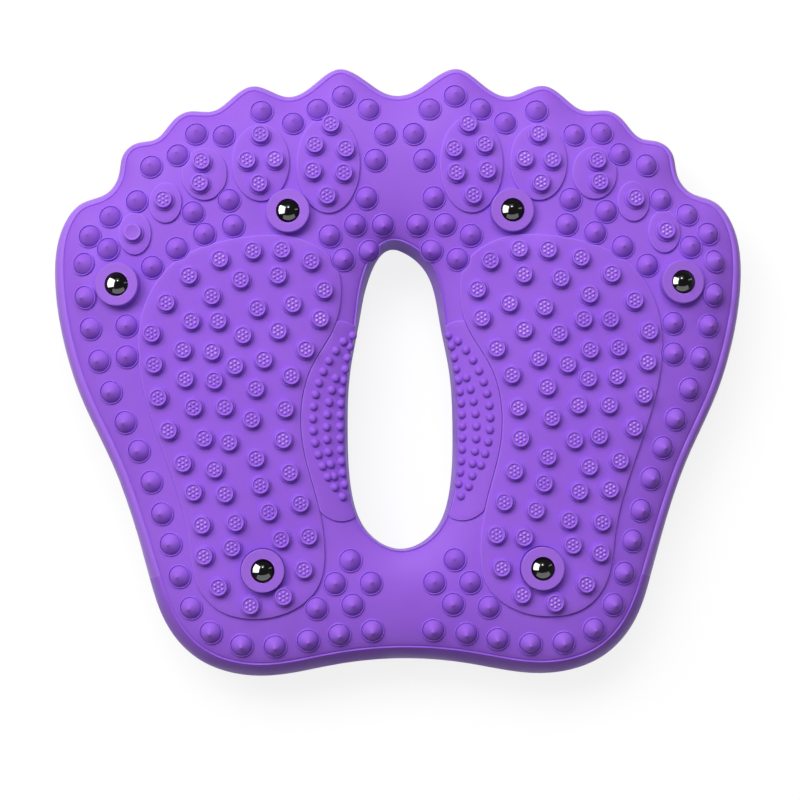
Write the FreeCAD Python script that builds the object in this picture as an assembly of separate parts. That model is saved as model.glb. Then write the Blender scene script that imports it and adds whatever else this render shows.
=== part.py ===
import FreeCAD, Part
import math
import os

# Inflatable wobble cushion shaped as a pair of feet, with massage relief and six rolling balls.
# Millimetres. Origin: middle of the underside, +X right, +Y towards the toes, +Z up.

V = FreeCAD.Vector
UP = V(0, 0, 1)

# ---- overall size -----------------------------------------------------------------------------
WIDTH = 340.0               # across both feet
DEPTH = 300.0               # toe tips to heels
THICK = 40.0                # underside to top skin, inflated
DRAWN_WIDTH = 340.0         # the layout below is drawn on this width and stretched to WIDTH
DRAWN_DEPTH = 300.0         # and on this depth, stretched to DEPTH

# ---- skins ------------------------------------------------------------------------------------
WALL = 2.5                  # skin thickness
SEAM_DROP = 6.0             # from the top skin down to where the two skins meet
RIM_RADIUS = 6.0            # rounding of the outer edge
HOLE_RADIUS = 3.5           # rounding of the edge of the middle hole

# ---- relief -----------------------------------------------------------------------------------
SOLE_PAD_RISE = 1.5
TOE_PAD_RISE = 1.5
ARCH_PAD_RISE = 1.2
RELIEF_GAP = 0.3            # groove left between neighbouring pads, cones and seats
CONE_RADIUS = 5.8
CONE_HEIGHT = 7.5
CONE_LIP = 0.6              # thin lip round the foot of a cone: its width and height
CONE_TIP_RADIUS = 1.8
CONE_ROW_INSET = 15.5       # from the outline to the cones of the side and heel row
CONE_PITCH = 16.0           # along that row
CONE_ROW_END = 14.5         # the row ends this far from the middle of the heel edge
NUB_RADIUS = 4.2
NUB_RISE = 3.4
NUB_EAR_RADIUS = 1.7
NUB_EAR_PLACE = 3.0         # from the nub's middle to a lobe, sideways and forwards
NUB_FOOT = 0.9              # the wider foot of a nub: its extra width and its height
DOT_RADIUS = 2.0
DOT_RISE = 1.8

# ---- balls and seats --------------------------------------------------------------------------
BALL_RADIUS = 6.5
BALL_PLAY = 0.15            # between ball and socket
SEAT_GRIP = 0.7             # the socket's mouth is this much narrower than the ball, to hold it
SEAT_LEDGE = 2.35           # how far the boss stands out round the cup
SEAT_RISE = 5.0             # from what the seat stands on to its upper face
CUP_WALL = 1.6              # under and around the ball
SEAT_ROUNDING = 0.6         # of the boss's upper edge
SEAT_PLAY = 0.2             # round the cup where it passes through the skin

# ---- valve ------------------------------------------------------------------------------------
VALVE_PLACE = (0.0, -114.0)
NEEDLE_RADIUS = 1.1
NEEDLE_DEPTH = 12.0         # length of the bore for the pump needle
CORE_RADIUS = 4.0
HOUSING_WALL = 2.0
HOUSING_FLANGE = 4.0        # how far the flange stands out round the housing
FLANGE_THICK = 1.6
VALVE_RECESS = 1.0          # the valve lies this far above the underside
VALVE_PLAY = 0.05           # round the core and round the housing
CORE_END = 2.4              # solid rubber of the core above the bore

# ---- layout of the right half; the left half is its mirror image ------------------------------
OUTLINE = ((14.5, 143), (22, 148), (29, 150), (36, 147), (46, 139), (54, 136), (63, 139),
           (72, 141.5), (82, 136), (92, 129), (104, 129), (112, 124), (120.5, 115), (129, 113.5),
           (136.5, 107), (138.5, 97), (145, 88), (156, 84), (165, 74), (170, 46), (166, 16),
           (157, -13), (143, -43), (132, -73), (124, -102), (116, -124), (101, -141), (67, -150),
           (34, -145))
OUTLINE_TOE_MIDDLE = (0, 136.5)
OUTLINE_HEEL_MIDDLE = (0, -142)
HOLE = ((15, 46), (20, 24), (24.5, 0), (26, -28), (24.5, -58), (16, -80))
HOLE_TOP = (0, 60)
HOLE_BOTTOM = (0, -88)
SOLE = ((61, 66), (44, 62), (32, 52), (29, 38), (34, 18), (43, 3), (49, -18), (48, -39), (42, -62),
        (38, -85), (42, -107), (56, -118), (73, -121), (89, -117), (99, -106), (104, -82),
        (112, -51), (123, -19), (128, 12), (124, 34), (110, 53), (87, 63))
ARCH_CENTRE = (29.5, -25)
ARCH_HALF_SIZE = (24, 49)
ARCH_DOT_ARCS = (((24, 17), (30.5, -27), (28.5, -56), 14),      # ends, middle and number of dots
                 ((32.5, -4), (37, -30), (33.5, -52), 9),
                 ((28.5, 14), (43.5, -27), (29.5, -62), 15))
TOE_PADS = ((35, 100.5, 15.5, 24), (68, 101.5, 14, 19), (95.5, 96, 11, 13), (114.5, 82, 8, 10),
            (129.5, 67, 8, 10.5))                               # middle and half sizes
TOE_NUBS = ((33.5, 119.5), (41.5, 109.5), (26.5, 107.5), (42.5, 97), (27.5, 96), (35.5, 85),
            (68, 114.5), (74.5, 102), (61, 102.5), (69, 91), (96.5, 101.5), (97.5, 91), (115, 83),
            (130, 67))
SOLE_NUBS = ((103, 46), (114, 33), (121, 18), (120, 3), (118, -13), (113, -29), (106, -45),
             (101, -59), (97, -75), (96, -90), (89, -105), (74, -114), (58, -110), (48, -97),
             (46, -81), (50, -65), (55, -50), (58, -34), (57, -19), (54, -3), (47, 10), (40, 25),
             (38, 39), (44, 53), (58, 58), (72, 58), (88, 54), (92, 36), (102, 24), (106, 10),
             (105, -4), (101, -18), (96, -33), (91, -48), (86, -60), (81, -74), (83, -86),
             (59, -82), (65, -69), (69, -56), (71, -43), (73, -24), (71, -9), (67, 5), (60, 19),
             (53, 32), (60, 46), (78, 44), (70, 30), (89, 24), (77, 17), (92, 9), (81, 2),
             (91, -5), (86, -18), (84, -35))
TOE_RIM_CONES = ((7, 115.5), (15, 128), (27.5, 134.5), (40, 128), (52, 121), (67.5, 127),
                 (86, 115), (99.5, 116), (108.5, 105.5), (121.5, 100), (128.5, 83), (141.5, 75.5),
                 (151.5, 66))
SIDE_ROW_START = (154, 52)                                      # the rim row runs on from here
TOE_GROUP_CONES = ((101, 77), (83.5, 83), (95.5, 66.5), (81.5, 70.5), (109, 59.5), (121, 50.5),
                   (142.5, 59.5), (133.5, 22), (133.5, 7), (12, 102.5), (16.5, 84), (22, 71),
                   (8.5, 71), (34.5, 65.5), (15.5, 58.5), (28, 54))
HEEL_GROUP_CONES = ((42, -116), (24.5, -114.5), (33, -104), (15.5, -104), (25.5, -93))
SEATS = (("toe", 54.5, 77.5, 4.0, 0.0), ("side", 137.5, 42.0, 8.0, 0.0),
         ("heel", 68.0, -97.5, 0.0, SOLE_PAD_RISE))             # place, outward lean, foot height

SIDES = (("left", -1), ("right", 1))


def place(x, y, z=0.0):
    """A layout point, stretched to the size of this cushion."""
    return V(x * WIDTH / DRAWN_WIDTH, y * DEPTH / DRAWN_DEPTH, z)


def closed_curve(points):
    curve = Part.BSplineCurve()
    curve.interpolate(Points=points, PeriodicFlag=True)
    return curve


def mirrored_loop(half, first, last):
    """A closed curve, symmetric about the YZ plane, from the points of its right half."""
    right = [place(x, y) for x, y in half]
    left = [V(-p.x, p.y, 0) for p in reversed(right)]
    return closed_curve([place(*first)] + right + [place(*last)] + left)


def moved_in(curve, distance, count=160):
    """The closed curve moved inwards by a distance, or outwards by a negative one."""
    spots = curve.toShape().discretize(count + 1)[:-1]
    area = sum(a.x * b.y - b.x * a.y for a, b in zip(spots, spots[1:] + spots[:1]))
    turn = distance if area > 0 else -distance
    moved = []
    for spot in spots:
        along = curve.tangent(curve.parameter(spot))[0].normalize()
        moved.append(spot + V(-along.y, along.x, 0) * turn)
    return closed_curve(moved)


def slab(curve, bottom, top):
    wire = Part.Wire([curve.toShape()])
    wire.translate(V(0, 0, bottom))
    return Part.Face(wire).extrude(V(0, 0, top - bottom))


def flat_edges(solid, bottom, top):
    """The edges that lie wholly in one of two levels."""
    found = []
    for edge in solid.Edges:
        box = edge.BoundBox
        for level in (bottom, top):
            if abs(box.ZMin - level) < 1e-3 and abs(box.ZMax - level) < 1e-3:
                found.append(edge)
    return found


def rounded_slab(outer, hole, bottom, top, rim_radius, hole_radius):
    body = slab(outer, bottom, top)
    body = body.makeFillet(rim_radius, flat_edges(body, bottom, top))
    funnel = slab(hole, bottom, top)
    body = body.cut(funnel)
    reach = funnel.BoundBox.XLength / 2 + 1e-3
    edges = [e for e in flat_edges(body, bottom, top) if e.BoundBox.XMax < reach]
    return body.makeFillet(hole_radius, edges)


def box_between(bottom, top):
    margin = 50.0
    return Part.makeBox(WIDTH + margin, DEPTH + margin, top - bottom,
                        V(-(WIDTH + margin) / 2, -(DEPTH + margin) / 2, bottom))


def seat_place(side, seat):
    """Where the axis of a ball seat meets the top skin, and the way that it leans."""
    name, x, y, lean, foot = seat
    spot = place(side * x, y, THICK)
    turn = FreeCAD.Rotation(V(0, 1, 0), side * lean)
    return FreeCAD.Placement(spot, turn)


def seat_heights(seat):
    """Heights above the top skin of the seat's face, the ball's middle and the cup's bottom."""
    face = SEAT_RISE + seat[4]
    socket = BALL_RADIUS + BALL_PLAY
    ball = face - math.sqrt(socket ** 2 - mouth_radius() ** 2)
    return face, ball, ball - socket - CUP_WALL


def mouth_radius():
    return BALL_RADIUS - SEAT_GRIP


def cup_radius():
    return BALL_RADIUS + BALL_PLAY + CUP_WALL


def boss_radius():
    return cup_radius() + SEAT_LEDGE


def ball_seat(side, seat):
    """A flanged cup: the boss stands on the skin, the cup passes through it, the ball rolls inside."""
    face, middle, bottom = seat_heights(seat)
    root = boss_radius()        # the boss starts this deep, so that a leaning one is cut flush
    boss = Part.makeCylinder(boss_radius(), face + root, V(0, 0, -root))
    rim = [e for e in boss.Edges if abs(e.BoundBox.ZMin - face) < 1e-3 and e.BoundBox.ZLength < 1e-3]
    boss = boss.makeFillet(SEAT_ROUNDING, rim)
    cup = Part.makeCylinder(cup_radius(), face / 2 - bottom, V(0, 0, bottom))
    ball_room = Part.makeSphere(BALL_RADIUS + BALL_PLAY, V(0, 0, middle))
    mouth = Part.makeCylinder(mouth_radius(), BALL_RADIUS, V(0, 0, face - SEAT_ROUNDING))
    boss.Placement = seat_place(side, seat)
    boss = boss.cut(box_between(0, THICK))
    for piece in (cup, ball_room, mouth):
        piece.Placement = seat_place(side, seat)
    return boss.fuse(cup).cut(ball_room).cut(mouth).removeSplitter()


def ball(side, seat):
    middle = seat_heights(seat)[1]
    solid = Part.makeSphere(BALL_RADIUS)
    solid.translate(seat_place(side, seat).multVec(V(0, 0, middle)))
    return solid


def seat_hole(side, seat, radius, low, high):
    hole = Part.makeCylinder(radius, high - low, V(0, 0, low))
    hole.Placement = seat_place(side, seat)
    return hole


def valve_hole():
    spot = place(*VALVE_PLACE)
    radius = CORE_RADIUS + HOUSING_WALL + VALVE_PLAY
    return Part.makeCylinder(radius, WALL * 2, V(spot.x, spot.y, -WALL / 2))


def skins():
    """The hollow body, parted at the seam into an upper and a lower skin."""
    outline = mirrored_loop(OUTLINE, OUTLINE_TOE_MIDDLE, OUTLINE_HEEL_MIDDLE)
    hole = mirrored_loop(HOLE, HOLE_TOP, HOLE_BOTTOM)
    outer = rounded_slab(outline, hole, 0.0, THICK, RIM_RADIUS, HOLE_RADIUS)
    inner = rounded_slab(moved_in(outline, WALL), moved_in(hole, -WALL), WALL, THICK - WALL,
                         RIM_RADIUS - WALL, HOLE_RADIUS - WALL)
    body = outer.cut(inner)
    seam = THICK - SEAM_DROP
    upper = body.common(box_between(seam, THICK + 1))
    for _, side in SIDES:
        for seat in SEATS:
            radius = cup_radius() + SEAT_PLAY
            upper = upper.cut(seat_hole(side, seat, radius, -3 * WALL, WALL))
    lower = body.common(box_between(-1, seam)).cut(valve_hole())
    return upper, lower


def cone():
    """A pointed massage cone with a rounded tip and a thin lip at its foot, on the top skin."""
    foot = CONE_RADIUS - CONE_LIP
    slope = math.atan2(CONE_HEIGHT - CONE_LIP, foot)
    tip_height = CONE_HEIGHT - CONE_TIP_RADIUS
    touch = V(CONE_TIP_RADIUS * math.sin(slope), 0, tip_height + CONE_TIP_RADIUS * math.cos(slope))
    halfway = V(CONE_TIP_RADIUS * math.sin(slope / 2), 0,
                tip_height + CONE_TIP_RADIUS * math.cos(slope / 2))
    tip = V(0, 0, CONE_HEIGHT)
    corners = [V(0, 0, 0), V(CONE_RADIUS, 0, 0), V(CONE_RADIUS, 0, CONE_LIP), V(foot, 0, CONE_LIP),
               touch]
    edges = [Part.LineSegment(a, b).toShape() for a, b in zip(corners, corners[1:])]
    edges.append(Part.Arc(touch, halfway, tip).toShape())
    edges.append(Part.LineSegment(tip, corners[0]).toShape())
    return Part.Face(Part.Wire(edges)).revolve(V(0, 0, 0), UP, 360)


def side_row():
    """Places of the right half's side and heel row: even steps along the outline moved inwards."""
    outline = mirrored_loop(OUTLINE, OUTLINE_TOE_MIDDLE, OUTLINE_HEEL_MIDDLE)
    loop = moved_in(outline, CONE_ROW_INSET).toShape().discretize(1201)[:-1]
    start = place(*SIDE_ROW_START)
    first = min(range(len(loop)), key=lambda i: loop[i].distanceToPoint(start))
    loop = loop[first:] + loop[:first]
    if loop[1].y > loop[0].y:
        loop = loop[:1] + loop[:0:-1]
    row = [spot for spot in loop[:len(loop) // 2] if spot.x > CONE_ROW_END]
    steps = round(len(row) * loop[0].distanceToPoint(loop[1]) / CONE_PITCH)
    return [row[round(k * (len(row) - 1) / steps)] for k in range(steps + 1)]


def nub():
    """A round nub with two small lobes on its toe side, on a slightly wider foot."""
    tiers = []
    for extra, height in ((NUB_FOOT, NUB_FOOT), (0.0, NUB_RISE)):
        tier = Part.makeCylinder(NUB_RADIUS + extra, height)
        for side in (-1, 1):
            spot = V(side * NUB_EAR_PLACE, NUB_EAR_PLACE, 0)
            ear = Part.makeCylinder(NUB_EAR_RADIUS + extra / 2, height, spot)
            tier = tier.fuse(ear)
        tiers.append(tier)
    return tiers[0].fuse(tiers[1]).removeSplitter()


def dot():
    """A low round dot: a dome cut from a ball."""
    radius = (DOT_RADIUS ** 2 + DOT_RISE ** 2) / (2 * DOT_RISE)
    dome = Part.makeSphere(radius, V(0, 0, DOT_RISE - radius))
    return dome.common(Part.makeCylinder(radius, 2 * radius))


def pad(curve, rise):
    return slab(curve, THICK, THICK + rise)


def ellipse_curve(x, y, half_x, half_y, side):
    steps = 24
    points = []
    for k in range(steps):
        angle = 2 * math.pi * k / steps
        points.append(place(side * (x + half_x * math.cos(angle)), y + half_y * math.sin(angle)))
    return closed_curve(points)


def sole_curve(side):
    return closed_curve([place(side * x, y) for x, y in SOLE])


def touches(a, b):
    return a.BoundBox.intersect(b.BoundBox)


def cut_back(solid, others):
    """The solid without what its neighbours take up, where their boxes meet."""
    near = [other for other in others if touches(solid, other)]
    return solid.cut(near) if near else solid


def put(shape, spots):
    """Copies of a shape, one at each place."""
    copies = []
    for spot in spots:
        copy = shape.copy()
        copy.translate(spot)
        copies.append(copy)
    return copies


def solids_of(shapes):
    return [solid for shape in shapes for solid in shape.Solids]


def save(name, shapes):
    solids = solids_of(shapes)
    shape = solids[0] if len(solids) == 1 else Part.makeCompound(solids)
    shape.exportStep(os.path.join("parts", name + ".step"))
    print(name, len(solids), "solids", round(shape.Volume, 1), shape.isValid())


def seat_clearances():
    """Round columns that keep the relief clear of the ball seats."""
    radius = boss_radius() + RELIEF_GAP
    return [seat_hole(side, seat, radius, -SEAT_RISE, 3 * SEAT_RISE)
            for _, side in SIDES for seat in SEATS]


def cone_clearances(spots):
    return [Part.makeCylinder(CONE_RADIUS + RELIEF_GAP, CONE_HEIGHT, V(p.x, p.y, THICK - 1))
            for p in spots]


def separate(shapes):
    """Each shape without what the ones before it take up."""
    kept = []
    for shape in shapes:
        kept.append(cut_back(shape, kept))
    return kept


def on_level(points, side, level):
    return [place(side * x, y, level) for x, y in points]


def arch_dot_spots(side):
    spots = []
    for start, middle, end, count in ARCH_DOT_ARCS:
        ends = [place(side * x, y, THICK + ARCH_PAD_RISE) for x, y in (start, middle, end)]
        spots += Part.Arc(*ends).toShape().discretize(count)
    return spots


def make_relief():
    clear_of_seats = seat_clearances()
    rim = [V(side * p.x, p.y, THICK) for _, side in SIDES for p in side_row()]
    rim += [p for _, side in SIDES for p in on_level(TOE_RIM_CONES, side, THICK)]
    toe_group = [p for _, side in SIDES for p in on_level(TOE_GROUP_CONES, side, THICK)]
    heel_group = [p for _, side in SIDES for p in on_level(HEEL_GROUP_CONES, side, THICK)]
    cones = separate(put(cone(), rim + toe_group + heel_group))
    cones = [cut_back(piece, clear_of_seats) for piece in cones]
    save("rim_cones", cones[:len(rim)])
    save("toe_group_cones", cones[len(rim):len(rim) + len(toe_group)])
    save("heel_group_cones", cones[len(rim) + len(toe_group):])

    blocked = clear_of_seats + cone_clearances(rim + toe_group + heel_group)
    for name, side in SIDES:
        sole = sole_curve(side)
        sole_pad = cut_back(pad(sole, SOLE_PAD_RISE), blocked)
        save("sole_pad_" + name, [sole_pad])
        sole_room = pad(moved_in(sole, -RELIEF_GAP), 2 * SOLE_PAD_RISE)
        toe_pads = [cut_back(pad(ellipse_curve(*oval, side), TOE_PAD_RISE), blocked + [sole_room])
                    for oval in TOE_PADS]
        save("toe_pads_" + name, separate(toe_pads))
        hole = mirrored_loop(HOLE, HOLE_TOP, HOLE_BOTTOM)
        hole_room = slab(moved_in(hole, -HOLE_RADIUS / 2), THICK - 1, THICK + 2 * ARCH_PAD_RISE)
        arch = pad(ellipse_curve(*ARCH_CENTRE, *ARCH_HALF_SIZE, side), ARCH_PAD_RISE)
        arch_pad = arch.cut([sole_room, hole_room])
        save("arch_pad_" + name, [max(arch_pad.Solids, key=lambda solid: solid.Volume)])
        save("arch_dots_" + name, separate(put(dot(), arch_dot_spots(side))))
        sole_nubs = put(nub(), on_level(SOLE_NUBS, side, THICK + SOLE_PAD_RISE))
        save("sole_nubs_" + name, separate([cut_back(p, blocked) for p in sole_nubs]))
        toe_nubs = put(nub(), on_level(TOE_NUBS, side, THICK + TOE_PAD_RISE))
        save("toe_nubs_" + name, separate([cut_back(p, blocked) for p in toe_nubs]))


def make_balls():
    for name, side in SIDES:
        for seat in SEATS:
            save("ball_seat_" + seat[0] + "_" + name, [ball_seat(side, seat)])
            save("ball_" + seat[0] + "_" + name, [ball(side, seat)])


def make_valve():
    """A flanged housing welded in the underside, round a rubber core with a bore for a needle."""
    spot = place(*VALVE_PLACE, VALVE_RECESS)
    outer = CORE_RADIUS + HOUSING_WALL
    length = NEEDLE_DEPTH + CORE_END
    tube = Part.makeCylinder(outer, length, spot)
    flange_spot = V(spot.x, spot.y, WALL)
    flange = Part.makeCylinder(outer + HOUSING_FLANGE, FLANGE_THICK, flange_spot)
    core_room = Part.makeCylinder(CORE_RADIUS + VALVE_PLAY, length, spot)
    save("valve_housing", [tube.fuse(flange).cut(core_room).removeSplitter()])
    core = Part.makeCylinder(CORE_RADIUS, length, spot)
    bore = Part.makeCylinder(NEEDLE_RADIUS, NEEDLE_DEPTH, spot)
    save("valve_core", [core.cut(bore)])


def main():
    os.makedirs("parts", exist_ok=True)
    upper, lower = skins()
    save("upper_skin", [upper])
    save("lower_skin", [lower])
    make_balls()
    make_valve()
    make_relief()


main()
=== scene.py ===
"""Looks of an inflatable wobble cushion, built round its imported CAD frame. Metres, in the frame's axes.

The cushion is one closed, inflated skin with a parting line round its rim and round its middle hole.
Raised pads, cones, nubs and dots are moulded on its top. Balls, ball seats and valve are the CAD nodes.
"""

import math

import bmesh
import bpy
import numpy as np
from bpy.props import FloatProperty, FloatVectorProperty, PointerProperty
from mathutils import Matrix, Vector
from mathutils.kdtree import KDTree


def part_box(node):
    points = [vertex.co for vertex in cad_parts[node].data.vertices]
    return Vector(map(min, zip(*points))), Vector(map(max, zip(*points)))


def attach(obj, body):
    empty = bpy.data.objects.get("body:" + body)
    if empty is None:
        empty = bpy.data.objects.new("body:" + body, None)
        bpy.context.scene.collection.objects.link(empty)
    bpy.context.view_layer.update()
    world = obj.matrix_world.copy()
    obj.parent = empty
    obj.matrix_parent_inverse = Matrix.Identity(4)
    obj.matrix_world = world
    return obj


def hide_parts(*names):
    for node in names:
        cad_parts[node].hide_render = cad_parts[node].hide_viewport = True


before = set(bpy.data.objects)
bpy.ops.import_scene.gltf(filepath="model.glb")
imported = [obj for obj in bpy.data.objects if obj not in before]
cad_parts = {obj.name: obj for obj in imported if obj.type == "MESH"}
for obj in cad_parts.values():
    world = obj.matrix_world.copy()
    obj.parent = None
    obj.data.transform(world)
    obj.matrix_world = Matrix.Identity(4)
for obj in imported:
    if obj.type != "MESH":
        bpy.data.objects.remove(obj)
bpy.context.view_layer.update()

bl_info = {
    "name": "Wobble cushion",
    "version": (1, 0, 0),
    "blender": (4, 5, 0),
    "location": "View3D > Sidebar > Cushion",
    "description": "Builds the skin, the massage relief and the finishes of an inflatable cushion",
    "category": "Add Mesh",
}

MM = 0.001
SKIN_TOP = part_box("upper_skin")[1].z        # level top of the plain skin in the frame
SIDES = ("left", "right")
SEATS = tuple(f"ball_seat_{place}_{side}" for place in ("toe", "side", "heel") for side in SIDES)
BALLS = tuple(f"ball_{place}_{side}" for place in ("toe", "side", "heel") for side in SIDES)


# ---- sizes, colours and stage -------------------------------------------------------------------

def length(name, description, millimetres):
    """A length that a user can change, given in millimetres."""
    return FloatProperty(name=name, description=description, default=millimetres * MM,
                         subtype="DISTANCE", unit="LENGTH", precision=5)


def colour(name, description, value):
    """A linear colour that a user can change."""
    return FloatVectorProperty(name=name, description=description, default=value, size=3,
                               subtype="COLOR", min=0, max=1)


def angle(name, description, degrees):
    """An angle that a user can change, given in degrees."""
    return FloatProperty(name=name, description=description, default=math.radians(degrees),
                         subtype="ANGLE", unit="ROTATION")


class SkinSizes(bpy.types.PropertyGroup):
    """The inflated skin."""
    crown: length("Crown", "Height of the top in the middle of each foot", 41.6)
    crease_inset: length("Crease inset", "From the outline in to the parting line", 6)
    toe_inset: length("Crease inset at the toes", "The same along the scalloped toe edge", 4)
    heel_inset: length("Crease inset at the heels", "The same round the heels", 7.4)
    rim_drop: length("Rim drop", "How far the top falls from the crown to the parting line", 8.2)
    rim_reach: length("Rim reach", "How quickly the top falls towards the rim", 16)
    hole_inset: length("Hole inset", "From the middle hole out to its parting line", 2.6)
    hole_toe_inset: length("Hole inset at the toes", "The same at the toe end of the hole", 4.4)
    hole_heel_inset: length("Hole inset at the heels", "The same at the heel end of the hole", 1.4)
    hole_drop: length("Hole drop", "How far the top falls from the crown to the hole", 7.5)
    hole_reach: length("Hole reach", "How quickly the top falls towards the hole", 13)
    widest: length("Widest level", "Height at which the side wall bulges furthest", 19)
    under_lift: length("Underside lift", "How far the underside curves up at the rim", 7)
    under_reach: length("Underside reach", "How quickly the underside curves up at the rim", 8)
    hole_flat: FloatProperty(name="Hole flatness", description="Straightness of the hole's wall",
                             default=0.85, min=0, max=1)
    heel_flat: FloatProperty(name="Heel flatness", description="Straightness of the heel wall",
                             default=0.6, min=0, max=1)
    groove: length("Groove", "Depth of the parting line", 0.55)
    pitch: length("Mesh pitch", "Width of the faces of the top", 1.7)
    grip_pitch: length("Grip pitch", "Spacing of the grip dots of the underside", 12)


class ReliefSizes(bpy.types.PropertyGroup):
    """The moulded massage relief."""
    pad_rise: length("Pad rise", "Height of the sole and toe pads", 1.5)
    arch_rise: length("Arch rise", "Height of the arch pads", 1.2)
    pad_edge: length("Pad edge", "Rounding of the pads' upper edges", 0.45)
    cone_radius: length("Cone radius", "Radius of a cone above its lip", 5.25)
    cone_height: length("Cone height", "Height of a cone", 4.8)
    cone_lip: length("Cone lip", "Width of the lip at the foot of a cone", 0.65)
    nub_radius: length("Nub radius", "Radius of a nub above its plinth", 4.2)
    nub_rise: length("Nub rise", "Height of a nub", 3.5)
    nub_floor: length("Nub floor", "Depth of the sunken floor of a nub", 0.65)
    nub_foot: length("Nub foot", "Width of the plinth round a nub", 1.15)
    bead_radius: length("Bead radius", "Radius of the beads on a nub", 0.68)
    bead_spacing: length("Bead spacing", "Spacing of the beads on a nub", 2.05)
    dot_radius: length("Dot radius", "Radius of the domes of the arch pads", 2.0)
    dot_rise: length("Dot rise", "Height of the domes of the arch pads", 1.9)


class Finishes(bpy.types.PropertyGroup):
    """Colours of the finishes. Bead and Edge are paler tones that paint highlights on the one vinyl."""
    skin: colour("Skin", "Soft satin vinyl of the skin and its relief", (0.342, 0.132, 0.768))
    skin_deep: colour("Skin, deep", "Cloudy variation of the skin", (0.318, 0.117, 0.735))
    seat: colour("Seat", "Moulded seats of the balls", (0.365, 0.150, 0.775))
    # Bead and Edge are painted highlights: beads and relief edges are the skin's vinyl, drawn paler where
    # they would catch the light.
    bead: colour("Bead", "Paler tone on the beads", (0.700, 0.430, 1.000))
    edge: colour("Edge", "Paler tone on the edges of the relief", (0.400, 0.175, 0.840))
    ball: colour("Ball", "Polished black balls", (0.008, 0.008, 0.008))
    valve: colour("Valve", "Moulded valve housing", (0.330, 0.140, 0.720))
    rubber: colour("Rubber", "Rubber core of the valve", (0.028, 0.028, 0.030))


class StageSettings(bpy.types.PropertyGroup):
    """Camera and light."""
    distance: length("Distance", "From the camera to the cushion", 1317)
    lean_south: angle("Lean to the heels", "Tilt of the view towards the heels", 1.8)
    lean_west: angle("Lean to the left", "Tilt of the view towards the left foot", 2)
    roll: angle("Roll", "Turn of the view about its own axis", -0.4)
    lens: FloatProperty(name="Lens", description="Focal length of the camera", default=119.6,
                        subtype="DISTANCE_CAMERA", unit="CAMERA")
    key: FloatProperty(name="Key light", description="Power of the main lamp", default=68,
                       subtype="POWER", unit="POWER")
    fill: FloatProperty(name="Fill light", description="Power of the overhead lamp", default=26,
                        subtype="POWER", unit="POWER")
    sky: FloatProperty(name="Sky", description="Strength of the surrounding light", default=0.17)
    floor: colour("Floor", "Pale floor under the cushion", (0.18, 0.18, 0.18))
    floor_glow: FloatProperty(name="Floor glow", description="Brings the floor up to white",
                              default=0.84)


# ---- shapes read from the frame ------------------------------------------------------------------

def clean_copy(node):
    """A mesh of a CAD node with its loose triangles joined."""
    mesh = bmesh.new()
    mesh.from_mesh(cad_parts[node].data)
    bmesh.ops.remove_doubles(mesh, verts=mesh.verts, dist=0.001 * MM)
    return mesh


def level_loops(node):
    """The closed edges round a node's highest level faces, the longest first, anticlockwise."""
    mesh = clean_copy(node)
    top = max(v.co.z for v in mesh.verts)
    level = {f for f in mesh.faces if min(v.co.z for v in f.verts) > top - 0.01 * MM}
    edges = {e for e in mesh.edges if sum(f in level for f in e.link_faces) == 1}
    loops = []
    while edges:
        edge = edges.pop()
        first, spot = edge.verts
        loop = [first, spot]
        while spot != first:
            edge = next(e for e in spot.link_edges if e in edges)
            edges.remove(edge)
            spot = edge.other_vert(spot)
            loop.append(spot)
        loops.append(np.array([v.co.xy for v in loop[:-1]]))
    mesh.free()
    return sorted((anticlockwise(loop) for loop in loops), key=girth, reverse=True)


def anticlockwise(loop):
    """The loop with its points running anticlockwise, seen from above."""
    after = np.roll(loop, -1, 0)
    area = (loop[:, 0] * after[:, 1] - after[:, 0] * loop[:, 1]).sum()
    return loop if area > 0 else loop[::-1]


def girth(loop):
    """Length of a closed loop."""
    return np.linalg.norm(np.roll(loop, -1, 0) - loop, axis=1).sum()


def evenly(loop, pitch, passes=2):
    """The loop with its points a pitch apart, and its small kinks smoothed."""
    closed = np.vstack([loop, loop[:1]])
    along = np.concatenate([[0], np.cumsum(np.linalg.norm(np.diff(closed, axis=0), axis=1))])
    steps = np.linspace(0, along[-1], max(12, round(along[-1] / pitch)), endpoint=False)
    even = np.stack([np.interp(steps, along, closed[:, axis]) for axis in (0, 1)], axis=1)
    for _ in range(passes):
        even = even / 2 + (np.roll(even, 1, 0) + np.roll(even, -1, 0)) / 4
    return even


def inward(loop):
    """Unit vectors to the left of an anticlockwise loop, which is the way in."""
    along = np.roll(loop, -1, 0) - np.roll(loop, 1, 0)
    along /= np.linalg.norm(along, axis=1)[:, None]
    return np.stack([-along[:, 1], along[:, 0]], axis=1)


def inside(spots, loop):
    """Which of the spots lie inside a closed loop."""
    found = np.zeros(len(spots), bool)
    for a, b in zip(loop, np.roll(loop, -1, 0)):
        crosses = (a[1] > spots[:, 1]) != (b[1] > spots[:, 1])
        rise = b[1] - a[1] or 1e-12
        found ^= crosses & (spots[:, 0] < a[0] + (spots[:, 1] - a[1]) * (b[0] - a[0]) / rise)
    return found


def islands(node):
    """The lowest and highest corner of each loose part of a node."""
    mesh = clean_copy(node)
    left = set(mesh.verts)
    boxes = []
    while left:
        group = [left.pop()]
        for spot in group:
            for edge in spot.link_edges:
                other = edge.other_vert(spot)
                if other in left:
                    left.remove(other)
                    group.append(other)
        corners = np.array([v.co for v in group])
        boxes.append((corners.min(0), corners.max(0)))
    mesh.free()
    return sorted(boxes, key=lambda box: tuple(box[0].round(6)))


OUTLINE_PITCH = 1.2 * MM
RIM_LOOPS = level_loops("lower_skin")
OUTLINE = evenly(RIM_LOOPS[0], OUTLINE_PITCH)
HOLE = evenly(RIM_LOOPS[-1], OUTLINE_PITCH)


# ---- the inflated surface ------------------------------------------------------------------------

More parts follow.
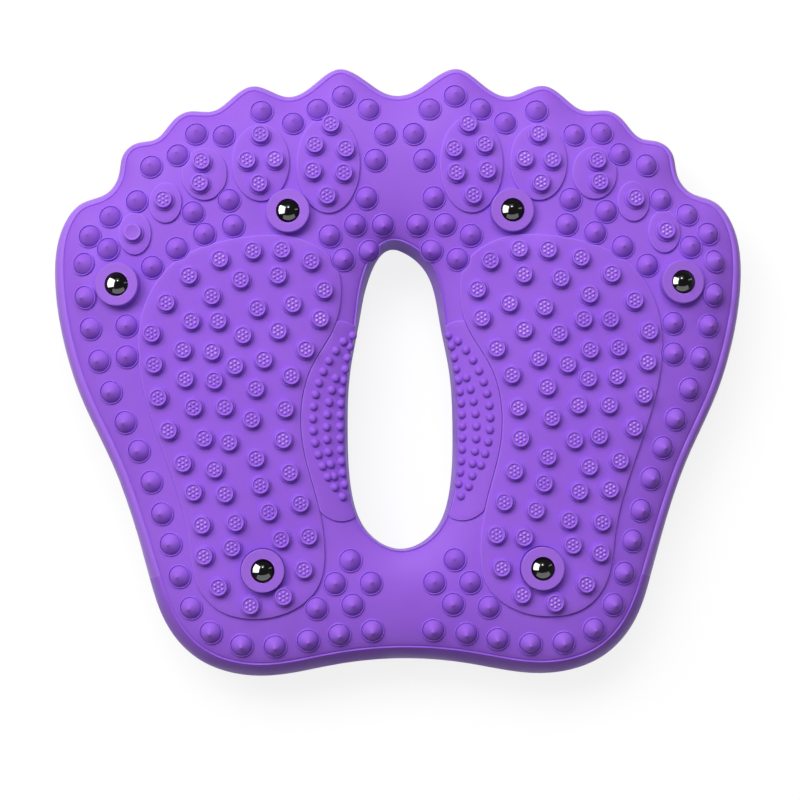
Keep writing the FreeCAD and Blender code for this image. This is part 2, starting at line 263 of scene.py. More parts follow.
def soft_distance(spots, loop):
    """Distance from each spot to a loop, smooth even where two stretches of it are equally near."""
    steps = np.linalg.norm(np.roll(loop, -1, 0) - loop, axis=1)
    total = np.zeros(len(spots))
    batch = 4000
    for start in range(0, len(spots), batch):
        some = spots[start:start + batch]
        gaps = (some ** 2).sum(1)[:, None] + (loop ** 2).sum(1) - 2 * some @ loop.T
        total[start:start + batch] = gaps ** -2 @ steps
    return (2 / math.pi * total) ** (-1 / 3)


def smooth_step(value):
    """0 below 0, 1 above 1, and an even curve between."""
    value = np.clip(value, 0, 1)
    return value * value * (3 - 2 * value)


def middle_and_radius(node):
    """Middle and radius of an upright round node, seen from above."""
    low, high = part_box(node)
    return np.array([(low.x + high.x) / 2, (low.y + high.y) / 2]), (high.y - low.y) / 2


SEAT_SPOTS = [middle_and_radius(node) for node in SEATS]


def top_height(spots):
    """Height of the inflated top: a crown that falls away to the rim and to the middle hole."""
    size = bpy.context.scene.skin_sizes
    spots = np.asarray(spots, float).reshape(-1, 2)
    height = np.full(len(spots), size.crown)
    for loop, inset, drop, reach in ((OUTLINE, size.crease_inset, size.rim_drop, size.rim_reach),
                                     (HOLE, size.hole_inset, size.hole_drop, size.hole_reach)):
        height -= drop * np.exp((inset - soft_distance(spots, loop)) / reach)
    around = 14 * MM
    for middle, radius in SEAT_SPOTS:
        away = np.linalg.norm(spots - middle, axis=1) - radius
        flat = 1 - smooth_step(away / around)
        height += flat * (SKIN_TOP + 0.1 * MM - height)
    return height


def under_height(spots):
    """Height of the underside, which lies on the floor and curves up at the rim."""
    size = bpy.context.scene.skin_sizes
    height = np.zeros(len(spots))
    for loop, inset in ((OUTLINE, size.crease_inset), (HOLE, size.hole_inset)):
        height += size.under_lift * np.exp((inset - soft_distance(spots, loop)) / size.under_reach)
    return height + 0.9 * MM


def stands(spot, height=top_height):
    """Placement of a piece that stands on the surface at a spot, square to it."""
    x, y = spot
    reach = 1.5 * MM
    around = [(x, y), (x + reach, y), (x - reach, y), (x, y + reach), (x, y - reach)]
    z, east, west, north, south = height(np.array(around))
    up = Vector((west - east, south - north, 2 * reach)).normalized()
    right = (Vector((1, 0, 0)) - up * up.x).normalized()
    turn = Matrix((right, up.cross(right), up)).transposed().to_4x4()
    return Matrix.Translation((x, y, z)) @ turn


# ---- mesh tools ----------------------------------------------------------------------------------

def ring(mesh, loop, heights):
    """A closed ring of edges."""
    spots = [mesh.verts.new((x, y, z)) for (x, y), z in zip(loop, heights)]
    for a, b in zip(spots, spots[1:] + spots[:1]):
        mesh.edges.new((a, b))
    return spots


def ring_edges(spots):
    """The edges that join a closed ring of vertices, in order."""
    pairs = zip(spots, spots[1:] + spots[:1])
    return [next(e for e in a.link_edges if e.other_vert(a) == b) for a, b in pairs]


def drawn_on(mesh, spots, loop, heights):
    """The ring extruded to a new loop. Returns the new ring."""
    made = bmesh.ops.extrude_edge_only(mesh, edges=ring_edges(spots))["geom"]
    new = {v for v in made if isinstance(v, bmesh.types.BMVert)}
    after = [next(e.other_vert(s) for e in s.link_edges if e.other_vert(s) in new) for s in spots]
    for spot, (x, y), z in zip(after, loop, heights):
        spot.co = (x, y, z)
    return after


def filled(mesh, rings, pitch, height, upwards=True):
    """Fills the space inside the first ring and outside the others with a fine, even grid."""
    loops = [np.array([v.co.xy for v in spots]) for spots in rings]
    low, high = loops[0].min(0), loops[0].max(0)
    across, along = (math.ceil(gap / pitch) for gap in high - low)
    middle = (low + high) / 2
    scale = Matrix.Diagonal((across * pitch, along * pitch, 1, 1))
    grid = bmesh.ops.create_grid(mesh, x_segments=across, y_segments=along, size=0.5,
                                 matrix=Matrix.Translation((*middle, 0)) @ scale)["verts"]
    spots = np.array([v.co.xy for v in grid])
    keep = inside(spots, loops[0])
    for loop in loops[1:]:
        keep &= ~inside(spots, loop)
    near = KDTree(sum(len(loop) for loop in loops))
    for index, (x, y) in enumerate(np.vstack(loops)):
        near.insert((x, y, 0), index)
    near.balance()
    for index in np.flatnonzero(keep):
        keep[index] = near.find((*spots[index], 0))[2] > 0.75 * pitch
    bmesh.ops.delete(mesh, geom=[v for v, kept in zip(grid, keep) if not kept], context="VERTS")
    grid = [v for v, kept in zip(grid, keep) if kept]
    while True:
        pinched = [v for v in grid if sum(e.is_boundary for e in v.link_edges) != 2
                   and (v.is_boundary or not v.link_faces)]
        if not pinched:
            break
        gone = set(pinched)
        grid = [v for v in grid if v not in gone]
        bmesh.ops.delete(mesh, geom=pinched, context="VERTS")
    border = {e for v in grid for e in v.link_edges if e.is_boundary}
    border |= {e for spots in rings for e in ring_edges(spots)}
    heights = [(spot, spot.co.z) for spots in rings for spot in spots]
    heights += zip(grid, height(np.array([v.co.xy for v in grid])) if grid else ())
    for spot, _ in heights:
        spot.co.z = 0
    bmesh.ops.triangle_fill(mesh, use_beauty=True, edges=list(border), normal=(0, 0, 1))
    for spot, z in heights:
        spot.co.z = z


def finished(mesh, name, material, sharp=40):
    """Closes up a mesh into a smooth-shaded object in the scene."""
    bmesh.ops.recalc_face_normals(mesh, faces=mesh.faces)
    for face in mesh.faces:
        face.smooth = True
    for edge in mesh.edges:
        edge.smooth = edge.is_manifold and edge.calc_face_angle(0) < math.radians(sharp)
    data = bpy.data.meshes.new(name)
    mesh.to_mesh(data)
    mesh.free()
    data.materials.append(material)
    piece = bpy.data.objects.new(name, data)
    bpy.context.scene.collection.objects.link(piece)
    return piece


def turned(mesh, profile, count, place):
    """A solid of revolution from a profile of radius and height, closed at both ends."""
    spots = [mesh.verts.new((radius, 0, z)) for radius, z in profile]
    edges = [mesh.edges.new(pair) for pair in zip(spots, spots[1:])]
    made = bmesh.ops.spin(mesh, geom=spots + edges, cent=(0, 0, 0), axis=(0, 0, 1),
                          angle=2 * math.pi, steps=count, use_merge=True)
    found = {v for v in made["geom_last"] if isinstance(v, bmesh.types.BMVert)}
    found |= set(spots)
    reached = list(found)
    for spot in reached:
        for edge in spot.link_edges:
            other = edge.other_vert(spot)
            if other not in found:
                found.add(other)
                reached.append(other)
    bmesh.ops.remove_doubles(mesh, verts=reached, dist=0.001 * MM)
    bmesh.ops.transform(mesh, matrix=place, verts=[v for v in reached if v.is_valid])


def stamp(target, pattern, places):
    """Copies of a small mesh at each placement, joined into one."""
    data = bpy.data.meshes.new("stamp")
    for place in places:
        copy = pattern.copy()
        bmesh.ops.transform(copy, matrix=place, verts=copy.verts)
        copy.to_mesh(data)
        copy.free()
        target.from_mesh(data)
    bpy.data.meshes.remove(data)


# ---- finishes ------------------------------------------------------------------------------------

def new_material(name):
    """A new material, with its node tree and its shader."""
    material = bpy.data.materials.new(name)
    material.use_nodes = True
    tree = material.node_tree
    shader = tree.nodes["Principled BSDF"]
    return material, tree, shader


def object_noise(tree, scale, detail=2.0, roughness=0.5):
    """Noise on the piece's own place in the object, with a scale in waves per metre."""
    place = tree.nodes.new("ShaderNodeTexCoord")
    noise = tree.nodes.new("ShaderNodeTexNoise")
    noise.inputs["Scale"].default_value = scale
    noise.inputs["Detail"].default_value = detail
    noise.inputs["Roughness"].default_value = roughness
    tree.links.new(place.outputs["Object"], noise.inputs["Vector"])
    return noise.outputs["Fac"]


def spread(tree, value, low, high):
    """A noise value from 0 to 1 brought to a range."""
    node = tree.nodes.new("ShaderNodeMapRange")
    node.inputs["From Min"].default_value = 0.3
    node.inputs["From Max"].default_value = 0.7
    node.inputs["To Min"].default_value = low
    node.inputs["To Max"].default_value = high
    tree.links.new(value, node.inputs["Value"])
    return node.outputs["Result"]


def blended(tree, factor, first, second):
    """A colour mixed from two by a factor."""
    node = tree.nodes.new("ShaderNodeMix")
    node.data_type = "RGBA"
    tree.links.new(factor, node.inputs["Factor"])
    node.inputs["A"].default_value = (*first, 1)
    node.inputs["B"].default_value = (*second, 1)
    return node.outputs["Result"]


def bumped(tree, shader, *layers):
    """Fine relief in the shading. Each layer is a noise value with its depth in metres."""
    last = None
    for value, depth in layers:
        bump = tree.nodes.new("ShaderNodeBump")
        bump.inputs["Strength"].default_value = 1
        bump.inputs["Distance"].default_value = depth
        tree.links.new(value, bump.inputs["Height"])
        if last:
            tree.links.new(last, bump.inputs["Normal"])
        last = bump.outputs["Normal"]
    tree.links.new(last, shader.inputs["Normal"])


def satin_vinyl(name, base, deep, roughness=0.42, grain=0.012 * MM):
    """Soft moulded vinyl: a fine satin grain, slow flow marks and cloudy colour."""
    material, tree, shader = new_material(name)
    clouds = spread(tree, object_noise(tree, 22, detail=3), 0, 1)
    tree.links.new(blended(tree, clouds, base, deep), shader.inputs["Base Color"])
    gloss = spread(tree, object_noise(tree, 60), roughness - 0.05, roughness + 0.06)
    tree.links.new(gloss, shader.inputs["Roughness"])
    shader.inputs["Specular IOR Level"].default_value = 0.1
    shader.inputs["Subsurface Weight"].default_value = 0.06
    shader.inputs["Subsurface Radius"].default_value = (1.2, 0.6, 1.6)
    shader.inputs["Subsurface Scale"].default_value = 0.8 * MM
    fine = object_noise(tree, 1800, detail=3, roughness=0.6)
    flow = object_noise(tree, 90, detail=1)
    bumped(tree, shader, (fine, grain), (flow, 0.05 * MM))
    return material


def polished_black(name, base):
    """A polished black ball with a faint haze and hairline scuffs."""
    material, tree, shader = new_material(name)
    shader.inputs["Base Color"].default_value = (*base, 1)
    shader.inputs["Metallic"].default_value = 1
    haze = spread(tree, object_noise(tree, 400, detail=4), 0.05, 0.11)
    tree.links.new(haze, shader.inputs["Roughness"])
    bumped(tree, shader, (object_noise(tree, 2500, detail=2), 0.0008 * MM))
    return material


def matt_rubber(name, base):
    """Matt rubber with a trace of dust."""
    material, tree, shader = new_material(name)
    dusty = tuple(channel * 1.7 for channel in base)
    dust = spread(tree, object_noise(tree, 300, detail=4), 0, 1)
    tree.links.new(blended(tree, dust, base, dusty), shader.inputs["Base Color"])
    shader.inputs["Roughness"].default_value = 0.75
    bumped(tree, shader, (object_noise(tree, 3000), 0.01 * MM))
    return material


def skin_material():
    """The vinyl of the skin, made once."""
    found = bpy.data.materials.get("skin_vinyl")
    paint = bpy.context.scene.finishes
    return found or satin_vinyl("skin_vinyl", paint.skin, paint.skin_deep)


def painted_highlight_material(name, tone):
    """The skin's vinyl in a paler tone, painted on as a highlight."""
    paint = bpy.context.scene.finishes
    found = bpy.data.materials.get(name)
    return found or satin_vinyl(name, getattr(paint, tone), paint.edge, 0.34)


# ---- pieces --------------------------------------------------------------------------------------

NUB_TURNS = np.linspace(-math.pi / 2, 1.5 * math.pi, 32, endpoint=False)
WALL_STEPS = 7                              # rings from the crease to the widest level, and below it
GROOVE_STEPS = ((0.14, 0.6), (0.3, 1), (0.5, 0.95))     # millimetres outwards, share of the depth
# The paler strip on top of the outer wall is a painted highlight.
PAINTED_HIGHLIGHT_STRIP_FROM = -100 * MM                 # north of this the top of the outer wall is paler
GRIP_EDGE_GAP = 13 * MM                     # grip dots keep this far from both edges
GRIP_VALVE_GAP = 17 * MM                    # and this far from the middle of the valve

# Where the insets change along the cushion: the level where a change starts, and how far north it
# takes, or south where it is negative.
TOE_CHANGE = (40 * MM, 70 * MM)
HEEL_CHANGE = (-60 * MM, -70 * MM)
HOLE_TOE_CHANGE = (10 * MM, 45 * MM)
HOLE_HEEL_CHANGE = (-60 * MM, -45 * MM)

CAMERA_TARGET = (0, -14.3 * MM, 20 * MM)

# Lamps that light only the balls: name, place, extent and watts. They are far brighter than the two
# that light the cushion, because the balls' colour is nearly black and mirrors very little.
BALL_LAMPS = (("window_lamp", (-0.85, 0.2, 0.42), (1.0, 1.2), 600),
              ("spot_lamp", (-0.05, 0.9, 1.5), (0.26, 0.26), 40),
              ("south_lamp", (0.1, -1.0, 0.5), (2.4, 1.0), 110),
              ("east_lamp", (1.0, 0.3, 0.25), (0.12, 0.8), 6))


def changed(loop, change):
    """How far a change has come at each point of a loop, from 0 to 1."""
    start, length_of_change = change
    return smooth_step((loop[:, 1] - start) / length_of_change)


class SkinOperator(bpy.types.Operator):
    """Build the inflated skin: top, side walls, wall of the middle hole and underside"""
    bl_idname = "cushion.skin"
    bl_label = "Inflated skin"

    def execute(self, context):
        size = context.scene.skin_sizes
        mesh = bmesh.new()
        tops, unders = [], []
        toes = changed(OUTLINE, TOE_CHANGE)
        heels = changed(OUTLINE, HEEL_CHANGE)
        rim_inset = (size.crease_inset + toes * (size.toe_inset - size.crease_inset)
                     + heels * (size.heel_inset - size.crease_inset))
        toe_end = changed(HOLE, HOLE_TOE_CHANGE)
        heel_end = changed(HOLE, HOLE_HEEL_CHANGE)
        hole_inset = (size.hole_inset + toe_end * (size.hole_toe_inset - size.hole_inset)
                      + heel_end * (size.hole_heel_inset - size.hole_inset))
        for loop, way, inset in ((OUTLINE, inward(OUTLINE), rim_inset),
                                 (HOLE, -inward(HOLE), hole_inset)):
            top, under = self.wall(mesh, loop, way, inset)
            tops.append(top)
            unders.append(under)
        filled(mesh, tops, size.pitch, top_height)
        self.underside(mesh, unders)
        skin = finished(mesh, "cushion_skin", skin_material(), sharp=55)
        # The second material is the paler edge tone, painted as a highlight along the top of the outer
        # wall.
        skin.data.materials.append(painted_highlight_material("painted_edge_highlight", "edge"))
        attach(skin, "cushion")
        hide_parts("upper_skin", "lower_skin")
        return {"FINISHED"}

    def wall(self, mesh, loop, way, inset):
        """The side wall along one loop, with the parting line near its top."""
        size = bpy.context.scene.skin_sizes

        def at(distance):
            """The loop moved inwards by a distance."""
            return loop + way * distance[:, None]

        crease = at(inset)
        high = top_height(crease)
        low = under_height(crease)
        edge = 0.35 * MM
        top = ring(mesh, at(inset + edge), top_height(at(inset + edge)))
        last = drawn_on(mesh, top, crease, high - 0.12 * MM)
        for step, drop in GROOVE_STEPS:
            last = drawn_on(mesh, last, at(inset - step * MM), high - drop * size.groove)
        bulge = inset - 0.62 * MM
        start = high - 0.6 * size.groove
        last = drawn_on(mesh, last, at(bulge), start)
        last = drawn_on(mesh, last, at(bulge - 0.45 * MM), start + 0.05 * MM)
        # Painted highlight: faces at the top of the outer wall, north of the strip's start, take the paler
        # edge tone.
        for face in {f for v in last for f in v.link_faces if loop is OUTLINE and v.co.y > PAINTED_HIGHLIGHT_STRIP_FROM}:
            face.material_index = 1
        bulge = bulge - 0.45 * MM
        heels = changed(loop, HEEL_CHANGE)
        flat = np.full(len(loop), size.hole_flat) if loop is HOLE else size.heel_flat * heels
        for index in range(1, WALL_STEPS + 1):
            share = index / WALL_STEPS
            turn = math.pi / 2 * share
            fall = flat * share + (1 - flat) * (1 - math.cos(turn) ** 0.9)
            reach = flat * share + (1 - flat) * math.sin(turn)
            height = start + (size.widest - start) * fall
            last = drawn_on(mesh, last, at(bulge * (1 - reach)), height)
        for index in range(1, WALL_STEPS + 1):
            turn = math.pi / 2 * index / WALL_STEPS
            height = size.widest + (low - size.widest) * math.sin(turn)
            last = drawn_on(mesh, last, at(inset * (1 - math.cos(turn))), height)
        return top, last

    def underside(self, mesh, rings):
        """The underside, with the recess that the valve lies in."""
        middle, radius = self.valve_mouth()
        turns = np.linspace(0, 2 * math.pi, 48, endpoint=False)
        circle = np.stack([np.cos(turns), np.sin(turns)], axis=1)
        outside = middle + circle * (radius + 0.8 * MM)
        mouth = ring(mesh, outside, under_height(outside))
        filled(mesh, [*rings, mouth], 3.2 * MM, under_height)
        last = mouth
        for reach, rise in ((0.25, 0.15), (0, 0.6), (0, 2.6)):
            spots = middle + circle * (radius + reach * MM)
            last = drawn_on(mesh, last, spots, under_height(spots) + rise * MM)
        bmesh.ops.triangle_fill(mesh, use_beauty=True, edges=ring_edges(last), normal=(0, 0, 1))

    def valve_mouth(self):
        """Middle and radius of the round opening that the valve's tube fills."""
        corners = np.array([v.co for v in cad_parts["valve_housing"].data.vertices])
        foot = corners[corners[:, 2] < corners[:, 2].min() + 0.01 * MM, :2]
        middle = (foot.min(0) + foot.max(0)) / 2
        return middle, np.linalg.norm(foot - middle, axis=1).max() + 0.15 * MM


class GripOperator(bpy.types.Operator):
    """Build the low grip dots of the underside"""
    bl_idname = "cushion.grip"
    bl_label = "Grip dots"

    def execute(self, context):
        size = context.scene.skin_sizes
        pattern = bmesh.new()
        turned(pattern, [(0, -0.4 * MM), (2.2 * MM, -0.4 * MM), (2.0 * MM, 0.45 * MM),
                         (1.2 * MM, 0.78 * MM), (0, 0.85 * MM)], 10, Matrix())
        low, high = OUTLINE.min(0), OUTLINE.max(0)
        low_valve, high_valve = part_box("valve_housing")
        valve = np.array([(low_valve.x + high_valve.x) / 2, (low_valve.y + high_valve.y) / 2])
        spots = []
        for row in range(int((high[1] - low[1]) / size.grip_pitch) + 1):
            shift = size.grip_pitch / 2 * (row % 2)
            for step in range(-15, 16):
                spots.append((step * size.grip_pitch + shift, low[1] + row * size.grip_pitch))
        spots = np.array(spots)
        keep = inside(spots, OUTLINE) & ~inside(spots, HOLE)
        spots = spots[keep]
        clear = np.minimum(soft_distance(spots, OUTLINE), soft_distance(spots, HOLE)) > GRIP_EDGE_GAP
        clear &= np.linalg.norm(spots - valve, axis=1) > GRIP_VALVE_GAP
        mesh = bmesh.new()
        over = Matrix.Rotation(math.pi, 4, "X")
        stamp(mesh, pattern, [stands(spot, under_height) @ over for spot in spots[clear]])
        grip = finished(mesh, "grip_dots", skin_material())
        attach(grip, "cushion")
        return {"FINISHED"}


class PadsOperator(bpy.types.Operator):
    """Build the raised pads under the soles, the toes and the arches"""
    bl_idname = "cushion.pads"
    bl_label = "Raised pads"

    def execute(self, context):
        size = context.scene.relief_sizes
        for side in SIDES:
            for node, rise in ((f"sole_pad_{side}", size.pad_rise),
                               (f"toe_pads_{side}", size.pad_rise),
                               (f"arch_pad_{side}", size.arch_rise)):
                pad = self.pad(node, rise)
                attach(pad, "cushion")
                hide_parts(node)
        return {"FINISHED"}

    def pad(self, node, rise):
        """One pad: a rounded edge round a top that follows the skin."""
        edge = bpy.context.scene.relief_sizes.pad_edge
        mesh = bmesh.new()
        loops = [evenly(loop, 0.9 * MM, passes=1) for loop in level_loops(node)]
        outers = [a for a in loops if not any(inside(a[:1], b)[0] for b in loops if b is not a)]
        for outer in outers:
            holes = [a for a in loops if a is not outer and inside(a[:1], outer)[0]]
            rings = []
            for loop, way in [(outer, inward(outer))] + [(hole, -inward(hole)) for hole in holes]:
                rings.append(self.rim(mesh, loop, way, rise, edge))
            filled(mesh, rings, 2.2 * MM, lambda spots: top_height(spots) + rise)
        pad = finished(mesh, node + "_looks", skin_material(), sharp=50)
        # The second material is the paler edge tone, a painted highlight on the pads' rounded edges.
        pad.data.materials.append(painted_highlight_material("painted_edge_highlight", "edge"))
        return pad

    def rim(self, mesh, loop, way, rise, edge):
        """The rounded edge of a pad, down into the skin. Returns the ring at its top."""
        first = loop + way * edge
        top = ring(mesh, first, top_height(first) + rise)
        last = top
        for turn in (30, 60, 90):
            turn = math.radians(turn)
            spots = loop + way * edge * (1 - math.sin(turn))
            last = drawn_on(mesh, last, spots, top_height(spots) + rise - edge * (1 - math.cos(turn)))
            # Painted highlight: the rounded edge takes the paler edge tone.
            for face in {f for v in last for f in v.link_faces}:
                face.material_index = 1
        drawn_on(mesh, last, loop, top_height(loop) - 0.5 * MM)
        return top


class ConesOperator(bpy.types.Operator):
    """Build the massage cones of the rim, the toes and the heels"""
    bl_idname = "cushion.cones"
    bl_label = "Massage cones"

    def execute(self, context):
        size = context.scene.relief_sizes
        pattern = bmesh.new()
        turned(pattern, self.profile(size), 22, Matrix())
        # Painted highlight: the outer faces of each cone's lip take the paler edge tone.
        lip = size.cone_radius + size.cone_lip * 0.3
        for face in pattern.faces:
            if all(v.co.z > 0 and v.co.xy.length > lip for v in face.verts):
                face.material_index = 1
        for node in ("rim_cones", "toe_group_cones", "heel_group_cones"):
            mesh = bmesh.new()
            middles = [(low[:2] + high[:2]) / 2 for low, high in islands(node)]
            stamp(mesh, pattern, [stands(spot) for spot in middles])
            cones = finished(mesh, node + "_looks", skin_material(), sharp=38)
            cones.data.materials.append(painted_highlight_material("painted_edge_highlight", "edge"))
            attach(cones, "cushion")
            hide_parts(node)
        return {"FINISHED"}

    def profile(self, size):
        """Half section: a low lip, a slightly full flank and a small rounded tip."""
        foot, lip = size.cone_radius, size.cone_lip
        section = [(0, -1.6 * MM), (foot + lip, -1.6 * MM), (foot + lip, 0.45 * MM),
                   (foot + lip * 0.75, 0.8 * MM), (foot + lip * 0.4, 0.8 * MM), (foot, 0.1 * MM)]
        flank = size.cone_height - 0.1 * MM
        for share in (0.15, 0.32, 0.5, 0.66, 0.8, 0.9):
            section.append((foot * (1 - share ** 1.35) ** 0.74, 0.1 * MM + flank * share))
        section += [(0.45 * MM, size.cone_height - 0.05 * MM), (0.3 * MM, size.cone_height + 0.2 * MM),
                    (0, size.cone_height + 0.3 * MM)]
        return section


class NubsOperator(bpy.types.Operator):
    """Build the round nubs of the sole and toe pads, with their beads"""
    bl_idname = "cushion.nubs"
    bl_label = "Nubs"

    def execute(self, context):
        size = context.scene.relief_sizes
        beaded = self.nub(size, beads=True)
        plain = self.nub(size, beads=False)
        for side in SIDES:
            for node in (f"sole_nubs_{side}", f"toe_nubs_{side}"):
                places = []
                for low, high in islands(node):
                    spot = ((low[0] + high[0]) / 2, (low[1] + high[1]) / 2)
                    lift = Matrix.Translation((0, 0, size.pad_rise))
                    places.append(stands(spot) @ lift)
                mesh = bmesh.new()
                if node == "toe_nubs_left":     # the nub of its small toe has no beads
                    places.sort(key=lambda place: place.translation.x)
                    stamp(mesh, plain, places[:1])
                    places = places[1:]
                stamp(mesh, beaded, places)
                nubs = finished(mesh, node + "_looks", skin_material(), sharp=50)
                # The beads and rims take paler tones, painted highlights on the one vinyl.
                nubs.data.materials.append(painted_highlight_material("painted_bead_highlight", "bead"))
                nubs.data.materials.append(painted_highlight_material("painted_edge_highlight", "edge"))
                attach(nubs, "cushion")
                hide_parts(node)
        return {"FINISHED"}

    def outline(self, size, grow=0.0):
        """A plain circle round the middle of a nub."""
        return np.stack([np.cos(NUB_TURNS), np.sin(NUB_TURNS)], axis=1) * (size.nub_radius + grow)

    def nub(self, size, beads):
        """A round nub on a plinth, with a sunken floor."""
        mesh = bmesh.new()
        rise, foot = size.nub_rise, size.nub_foot
        last = ring(mesh, self.outline(size, foot), [-0.5 * MM] * len(NUB_TURNS))
        bmesh.ops.triangle_fill(mesh, use_beauty=True, edges=ring_edges(last), normal=(0, 0, 1))
        floor = rise - (size.nub_floor if beads else 0.1 * MM)
        for grow, height, pale in ((foot - 0.15 * MM, 0.75 * MM, False), (0.3 * MM, 0.85 * MM, False),
                                   (0, rise - 0.35 * MM, False), (-0.2 * MM, rise, True),
                                   (-0.6 * MM, rise, True), (-0.9 * MM, floor, False)):
            last = drawn_on(mesh, last, self.outline(size, grow), [height] * len(NUB_TURNS))
            # Painted highlight: the rim of the nub takes the paler edge tone.
            if pale:
                for face in {f for v in last for f in v.link_faces}:
                    face.material_index = 2
        bmesh.ops.triangle_fill(mesh, use_beauty=True, edges=ring_edges(last), normal=(0, 0, 1))
        if beads:
            self.add_beads(mesh, size)
        return mesh

    def add_beads(self, mesh, size):
        """A middle bead and six round it."""
        bead = bmesh.new()
        radius = size.bead_radius
        tall = size.nub_floor + 0.25 * MM
        turned(bead, [(0, -0.2 * MM), (radius, -0.2 * MM), (radius * 0.97, tall - radius * 0.6),
                      (radius * 0.6, tall - radius * 0.15), (0, tall)], 8, Matrix())
        # Painted highlight: the beads take the paler bead tone.
        for face in bead.faces:
            face.material_index = 1
        spacing = size.bead_spacing
        spots = [(0, 0)]
        for step in range(6):
            turn = math.pi / 6 + math.pi / 3 * step
            spots.append((spacing * math.cos(turn), spacing * math.sin(turn)))
        floor = size.nub_rise - size.nub_floor
        stamp(mesh, bead, [Matrix.Translation((x, y, floor)) for x, y in spots])
        bead.free()


class DotsOperator(bpy.types.Operator):
    """Build the small domes of the arch pads"""
    bl_idname = "cushion.dots"
    bl_label = "Arch dots"

    def execute(self, context):
        size = context.scene.relief_sizes
        pattern = bmesh.new()
        radius, rise = size.dot_radius, size.dot_rise
        section = [(0, -0.5 * MM), (radius + 0.25 * MM, -0.5 * MM), (radius + 0.2 * MM, 0.05 * MM),
                   (radius, 0.3 * MM)]
        for turn in (25, 50, 72):
            turn = math.radians(turn)
            section.append((radius * math.cos(turn), 0.3 * MM + (rise - 0.3 * MM) * math.sin(turn)))
        section.append((0, rise))
        turned(pattern, section, 12, Matrix())
        lift = Matrix.Translation((0, 0, size.arch_rise))
        for side in SIDES:
            node = f"arch_dots_{side}"
            middles = [(low[:2] + high[:2]) / 2 for low, high in islands(node)]
            mesh = bmesh.new()
            stamp(mesh, pattern, [stands(spot) @ lift for spot in middles])
            dots = finished(mesh, node + "_looks", skin_material(), sharp=60)
            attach(dots, "cushion")
            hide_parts(node)
        return {"FINISHED"}


class FittingsOperator(bpy.types.Operator):
    """Give the balls, their seats and the valve their finishes"""
    bl_idname = "cushion.fittings"
    bl_label = "Balls, seats and valve"

    def execute(self, context):
        paint = context.scene.finishes
        seat = satin_vinyl("seat_vinyl", paint.seat, tuple(c * 0.93 for c in paint.seat), 0.36)
        housing = satin_vinyl("valve_vinyl", paint.valve, tuple(c * 0.9 for c in paint.valve), 0.3)
        black = polished_black("ball_black", paint.ball)
        rubber = matt_rubber("valve_rubber", paint.rubber)
        for nodes, material in ((SEATS, seat), (BALLS, black), (["valve_housing"], housing),
                                (["valve_core"], rubber)):
            for node in nodes:
                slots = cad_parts[node].material_slots
                for slot in slots:
                    slot.material = material
        return {"FINISHED"}


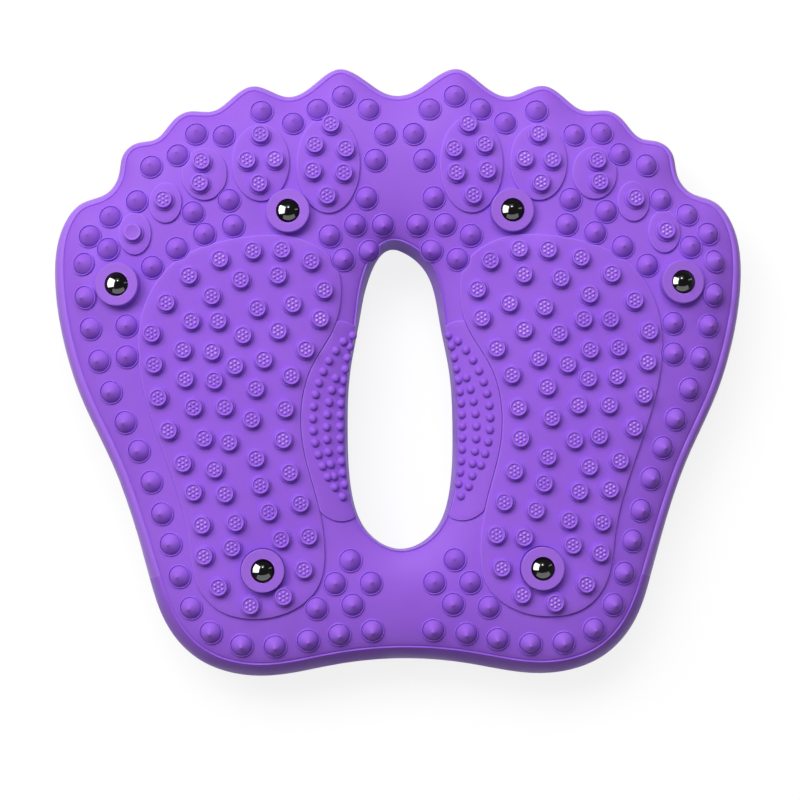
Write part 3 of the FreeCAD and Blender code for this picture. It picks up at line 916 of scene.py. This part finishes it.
class StageOperator(bpy.types.Operator):
    """Set out the floor, the lamps and the camera"""
    bl_idname = "cushion.stage"
    bl_label = "Stage"

    def execute(self, context):
        setting = context.scene.stage_settings
        context.scene.view_settings.view_transform = "Standard"
        self.floor(setting)
        self.sky(setting)
        self.lamp("key_lamp", (-1.8, 1.5, 2.5), (1.8, 1.8), setting.key)
        self.lamp("top_lamp", (-0.1, 1.4, 1.9), (1.2, 1.2), setting.fill)
        for name, place, extent, power in BALL_LAMPS:
            self.lamp(name, place, extent, power, BALLS)
        self.camera(setting)
        return {"FINISHED"}

    def floor(self, setting):
        """The pale floor, which also keeps the shadow."""
        mesh = bmesh.new()
        bmesh.ops.create_grid(mesh, x_segments=1, y_segments=1, size=6)
        material, tree, shader = new_material("floor_white")
        shader.inputs["Base Color"].default_value = (*setting.floor, 1)
        shader.inputs["Roughness"].default_value = 0.9
        shader.inputs["Emission Color"].default_value = (1, 1, 1, 1)
        seen = self.seen(tree, 0, setting.floor_glow)
        tree.links.new(seen, shader.inputs["Emission Strength"])
        floor = finished(mesh, "floor", material)

    def sky(self, setting):
        """A pale world: white where it is seen, and dimmer where it lights."""
        world = bpy.data.worlds.new("studio")
        world.use_nodes = True
        tree = world.node_tree
        back = tree.nodes["Background"]
        back.inputs["Color"].default_value = (1, 1, 1, 1)
        tree.links.new(self.seen(tree, setting.sky, 1), back.inputs["Strength"])
        bpy.context.scene.world = world

    def seen(self, tree, unseen, seen):
        """One value for what the camera sees, also in a gloss or through glass, and one for the rest."""
        ray = tree.nodes.new("ShaderNodeLightPath")
        last = ray.outputs["Is Camera Ray"]
        for name in ("Is Glossy Ray", "Is Transmission Ray"):
            either = tree.nodes.new("ShaderNodeMath")
            either.operation = "MAXIMUM"
            tree.links.new(last, either.inputs[0])
            tree.links.new(ray.outputs[name], either.inputs[1])
            last = either.outputs[0]
        choice = tree.nodes.new("ShaderNodeMapRange")
        choice.inputs["To Min"].default_value = unseen
        choice.inputs["To Max"].default_value = seen
        tree.links.new(last, choice.inputs["Value"])
        return choice.outputs["Result"]

    def lamp(self, name, place, extent, power, lit=()):
        """A soft lamp turned to the cushion. It lights everything, or only the nodes named as lit."""
        data = bpy.data.lights.new(name, "AREA")
        data.shape = "RECTANGLE"
        data.size, data.size_y = extent
        data.energy = power
        lamp = bpy.data.objects.new(name, data)
        if lit:
            group = bpy.data.collections.new(name + "_lit")
            for node in lit:
                group.objects.link(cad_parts[node])
            lamp.light_linking.receiver_collection = group
        lamp.location = place
        lamp.rotation_euler = (-Vector(place)).to_track_quat("-Z", "Y").to_euler()
        bpy.context.scene.collection.objects.link(lamp)

    def camera(self, setting):
        """The camera, leaning a little to the west and the south."""
        data = bpy.data.cameras.new("camera")
        data.lens = setting.lens
        data.sensor_width = 36
        data.clip_start = 0.01
        data.clip_end = 50
        camera = bpy.data.objects.new("camera", data)
        target = Vector(CAMERA_TARGET)
        back = Vector((-math.sin(setting.lean_west), -math.sin(setting.lean_south), 1)).normalized()
        camera.location = target + back * setting.distance
        right = Vector((0, 1, 0)).cross(back).normalized()
        turn = Matrix((right, back.cross(right), back)).transposed()
        camera.rotation_euler = (turn @ Matrix.Rotation(setting.roll, 3, "Z")).to_euler()
        bpy.context.scene.collection.objects.link(camera)
        bpy.context.scene.camera = camera


class CushionPanel(bpy.types.Panel):
    """Sizes, finishes and building steps of the cushion"""
    bl_idname = "VIEW3D_PT_cushion"
    bl_label = "Wobble cushion"
    bl_space_type = "VIEW_3D"
    bl_region_type = "UI"
    bl_category = "Cushion"

    def draw(self, context):
        for operator in OPERATORS:
            self.layout.operator(operator.bl_idname)
        for name in GROUPS:
            settings = getattr(context.scene, name)
            box = self.layout.box()
            for item in settings.bl_rna.properties:
                if not item.is_readonly and item.identifier != "name":
                    box.prop(settings, item.identifier)


OPERATORS = (SkinOperator, GripOperator, PadsOperator, ConesOperator, NubsOperator, DotsOperator,
             FittingsOperator, StageOperator)
GROUPS = {"skin_sizes": SkinSizes, "relief_sizes": ReliefSizes, "finishes": Finishes,
          "stage_settings": StageSettings}


def register():
    """Register the settings, the operators and the panel."""
    for item in (*GROUPS.values(), *OPERATORS, CushionPanel):
        bpy.utils.register_class(item)
    for name, group in GROUPS.items():
        setattr(bpy.types.Scene, name, PointerProperty(type=group))


def unregister():
    """Take them all out again."""
    for name in GROUPS:
        delattr(bpy.types.Scene, name)
    for item in reversed((*GROUPS.values(), *OPERATORS, CushionPanel)):
        bpy.utils.unregister_class(item)


def main():
    """Build everything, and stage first."""
    register()
    bpy.ops.cushion.stage()
    bpy.ops.cushion.skin()
    bpy.ops.cushion.grip()
    bpy.ops.cushion.pads()
    bpy.ops.cushion.cones()
    bpy.ops.cushion.nubs()
    bpy.ops.cushion.dots()
    bpy.ops.cushion.fittings()


if __name__ == "__main__":
    main()
